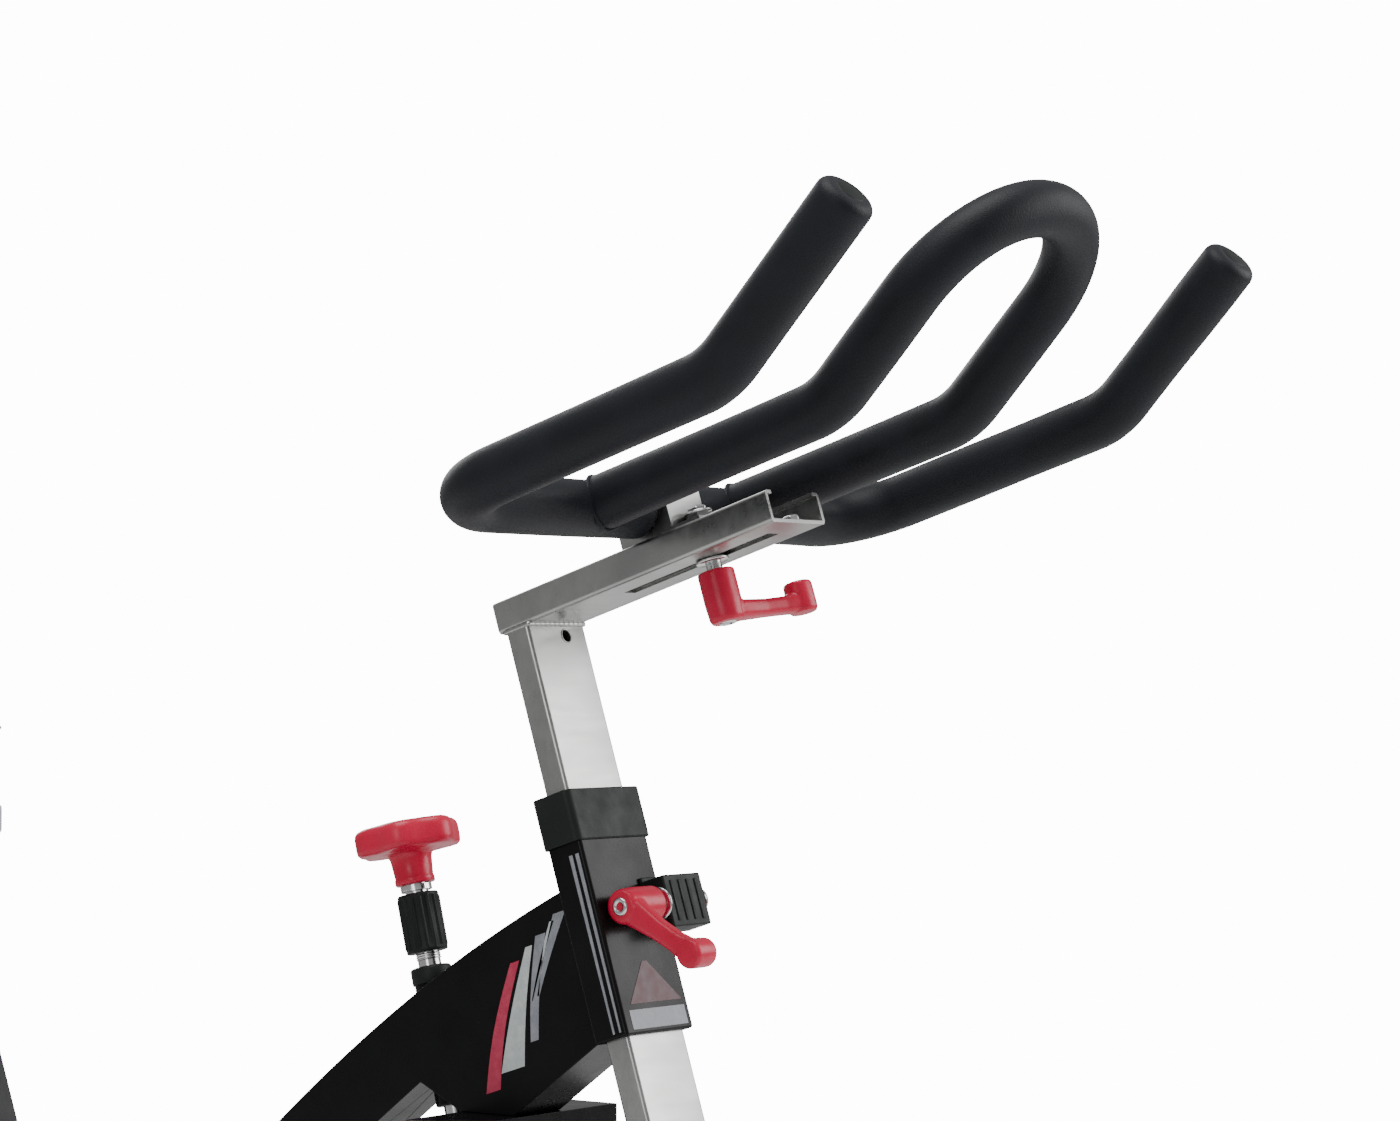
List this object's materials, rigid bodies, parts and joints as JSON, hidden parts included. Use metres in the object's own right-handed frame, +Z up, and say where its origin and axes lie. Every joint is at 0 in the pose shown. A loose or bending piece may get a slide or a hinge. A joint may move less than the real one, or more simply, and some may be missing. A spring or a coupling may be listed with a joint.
{
  "type": "indoor spin bike",
  "caption": "Indoor spin bike with a front flywheel, belt drive, foam-covered multi-grip handlebar, adjustable flat-tube posts, press-down brake knob and clamp levers.",
  "frame": {"origin": "on the floor under the middle of the bounding box", "axes": "+X forward, +Y to the rider's left, +Z up"},
  "size_m": [1.2318, 0.492, 1.2319],
  "materials": {
    "frame_paint": "gloss black powder coat",
    "black_plastic": "moulded satin black plastic",
    "foot_rubber": "dull black rubber",
    "satin_steel": "satin nickel-plated steel tube",
    "bright_steel": "bright plated steel",
    "flywheel_iron": "coated cast iron with a turned rim",
    "pulley_alloy": "machined alloy",
    "crank_steel": "satin steel crank",
    "belt_rubber": "ribbed rubber belt",
    "brake_felt": "pressed wool felt",
    "red_plastic": "red moulded nylon",
    "grip_foam": "closed-cell foam, charcoal with a soft sheen",
    "saddle_skin": "stitched synthetic leather over foam"
  },
  "bodies": {
    "frame": {"main_beam": "frame_paint", "head_sleeve": "frame_paint", "fork_crown": "frame_paint", "fork_blades": "frame_paint", "base_rail": "frame_paint", "seat_mast": "frame_paint", "rear_stay": "frame_paint", "front_stabilizer": "frame_paint", "rear_stabilizer": "frame_paint", "stabilizer_end_caps": "black_plastic", "transport_brackets": "frame_paint", "post_collars": "black_plastic", "clamp_block": "black_plastic", "tension_boss": "frame_paint", "flywheel_axle": "bright_steel", "axle_nuts": "bright_steel", "drive_belt": "belt_rubber", "guard_inner": "black_plastic", "guard_outer": "black_plastic", "bottom_bracket_bearings": "bright_steel"},
    "foot_fr": {"foot_front_right": "foot_rubber"},
    "foot_fl": {"foot_front_left": "foot_rubber"},
    "foot_rr": {"foot_rear_right": "foot_rubber"},
    "foot_rl": {"foot_rear_left": "foot_rubber"},
    "wheel_right": {"transport_wheel_right": "foot_rubber"},
    "wheel_left": {"transport_wheel_left": "foot_rubber"},
    "flywheel": {"flywheel": "flywheel_iron", "flywheel_pulley": "pulley_alloy", "flywheel_bearings": "bright_steel"},
    "crankset": {"drive_pulley": "pulley_alloy", "crank_spindle": "bright_steel", "crank_arm_right": "crank_steel", "crank_arm_left": "crank_steel", "crank_bolts": "black_plastic", "pedal_axles": "bright_steel"},
    "pedal_right": {"pedal_right": "black_plastic", "toe_cage_right": "black_plastic"},
    "pedal_left": {"pedal_left": "black_plastic", "toe_cage_left": "black_plastic"},
    "brake_rod": {"tension_shaft": "bright_steel", "tension_grip": "black_plastic", "return_spring": "bright_steel"},
    "knob": {"tension_knob": "red_plastic"},
    "brake_shoe": {"brake_pad_holder": "bright_steel", "brake_pad": "brake_felt"},
    "handlebar_mast": {"handlebar_post": "satin_steel"},
    "handlebar": {"handlebar_carriage": "satin_steel", "handlebar_tube": "satin_steel", "foam_right": "grip_foam", "foam_left": "grip_foam", "foam_loop": "grip_foam"},
    "head_lever": {"head_lever": "red_plastic"},
    "reach_lever": {"reach_lever": "red_plastic"},
    "seat_mast_upper": {"seat_post": "satin_steel"},
    "saddle_slide": {"saddle_carriage": "frame_paint"},
    "saddle": {"saddle_clamp": "bright_steel", "saddle_base": "black_plastic", "saddle_pad": "saddle_skin"},
    "seat_lever": {"seat_lever": "red_plastic"},
    "saddle_lever": {"saddle_lever": "red_plastic"}
  },
  "joints": [
    {"name": "handlebar_height", "type": "slide", "parent": "frame", "child": "handlebar_mast", "axis": [-0.3007, 0, 0.9537], "range_m": [-0.05, 0.12]},
    {"name": "handlebar_reach", "type": "slide", "parent": "handlebar_mast", "child": "handlebar", "axis": [0.9537, 0, 0.3007], "range_m": [-0.06, 0.04]},
    {"name": "head_lever_turn", "type": "hinge", "parent": "frame", "child": "head_lever", "pos_m": [0.28224, 0.015, 0.7707], "axis": [0, -1, 0], "range_deg": [-40, 60]},
    {"name": "reach_lever_turn", "type": "hinge", "parent": "handlebar", "child": "reach_lever", "pos_m": [0.33665, 0, 1.00018], "axis": [-0.3007, 0, 0.9537], "range_deg": [-60, 60]},
    {"name": "seat_height", "type": "slide", "parent": "frame", "child": "seat_mast_upper", "axis": [-0.3502, 0, 0.9367], "range_m": [-0.08, 0.15]},
    {"name": "saddle_reach", "type": "slide", "parent": "seat_mast_upper", "child": "saddle_slide", "axis": [1, 0, 0], "range_m": [-0.04, 0.04]},
    {"name": "saddle_tilt", "type": "hinge", "parent": "saddle_slide", "child": "saddle", "pos_m": [-0.44987, 0, 0.84072], "axis": [0, 1, 0], "range_deg": [-12, 12]},
    {"name": "seat_lever_turn", "type": "hinge", "parent": "frame", "child": "seat_lever", "pos_m": [-0.40217, 0, 0.62872], "axis": [-0.9367, 0, -0.3502], "range_deg": [-60, 60]},
    {"name": "saddle_lever_turn", "type": "hinge", "parent": "saddle_slide", "child": "saddle_lever", "pos_m": [-0.51987, 0, 0.80072], "axis": [0, 0, 1], "range_deg": [-60, 60]},
    {"name": "brake_press", "type": "slide", "parent": "frame", "child": "brake_rod", "axis": [0.2334, 0, -0.9724], "range_m": [0, 0.004], "stiffness_N_per_m": 3000, "springref_m": -0.01},
    {"name": "knob_turn", "type": "hinge", "parent": "brake_rod", "child": "knob", "pos_m": [0.1, 0, 0.695], "axis": [0.2334, 0, -0.9724], "range_deg": [0, 1080]},
    {"name": "pad_feed", "type": "slide", "parent": "brake_rod", "child": "brake_shoe", "axis": [0.2334, 0, -0.9724], "range_m": [0, 0.0053]},
    {"name": "flywheel_spin", "type": "hinge", "parent": "frame", "child": "flywheel", "pos_m": [0.1864, 0, 0.335], "axis": [0, 1, 0], "continuous": true},
    {"name": "crank_spin", "type": "hinge", "parent": "frame", "child": "crankset", "pos_m": [-0.275, 0, 0.33], "axis": [0, 1, 0], "continuous": true},
    {"name": "pedal_right_spin", "type": "hinge", "parent": "crankset", "child": "pedal_right", "pos_m": [-0.105, 0, 0.33], "axis": [0, 1, 0], "continuous": true},
    {"name": "pedal_left_spin", "type": "hinge", "parent": "crankset", "child": "pedal_left", "pos_m": [-0.445, 0, 0.33], "axis": [0, 1, 0], "continuous": true},
    {"name": "wheel_right_spin", "type": "hinge", "parent": "frame", "child": "wheel_right", "pos_m": [0.428, -0.17, 0.033], "axis": [0, 1, 0], "continuous": true},
    {"name": "wheel_left_spin", "type": "hinge", "parent": "frame", "child": "wheel_left", "pos_m": [0.428, 0.17, 0.033], "axis": [0, 1, 0], "continuous": true},
    {"name": "foot_fr_screw", "type": "slide", "parent": "frame", "child": "foot_fr", "axis": [0, 0, -1], "range_m": [0, 0.008]},
    {"name": "foot_fl_screw", "type": "slide", "parent": "frame", "child": "foot_fl", "axis": [0, 0, -1], "range_m": [0, 0.008]},
    {"name": "foot_rr_screw", "type": "slide", "parent": "frame", "child": "foot_rr", "axis": [0, 0, -1], "range_m": [0, 0.008]},
    {"name": "foot_rl_screw", "type": "slide", "parent": "frame", "child": "foot_rl", "axis": [0, 0, -1], "range_m": [0, 0.008]}
  ],
  "couplings": [
    {"joint": "crank_spin", "follows": "flywheel_spin", "ratio": 0.28421},
    {"joint": "pad_feed", "follows": "knob_turn", "m_per_rad": 0.00027852}
  ]
}
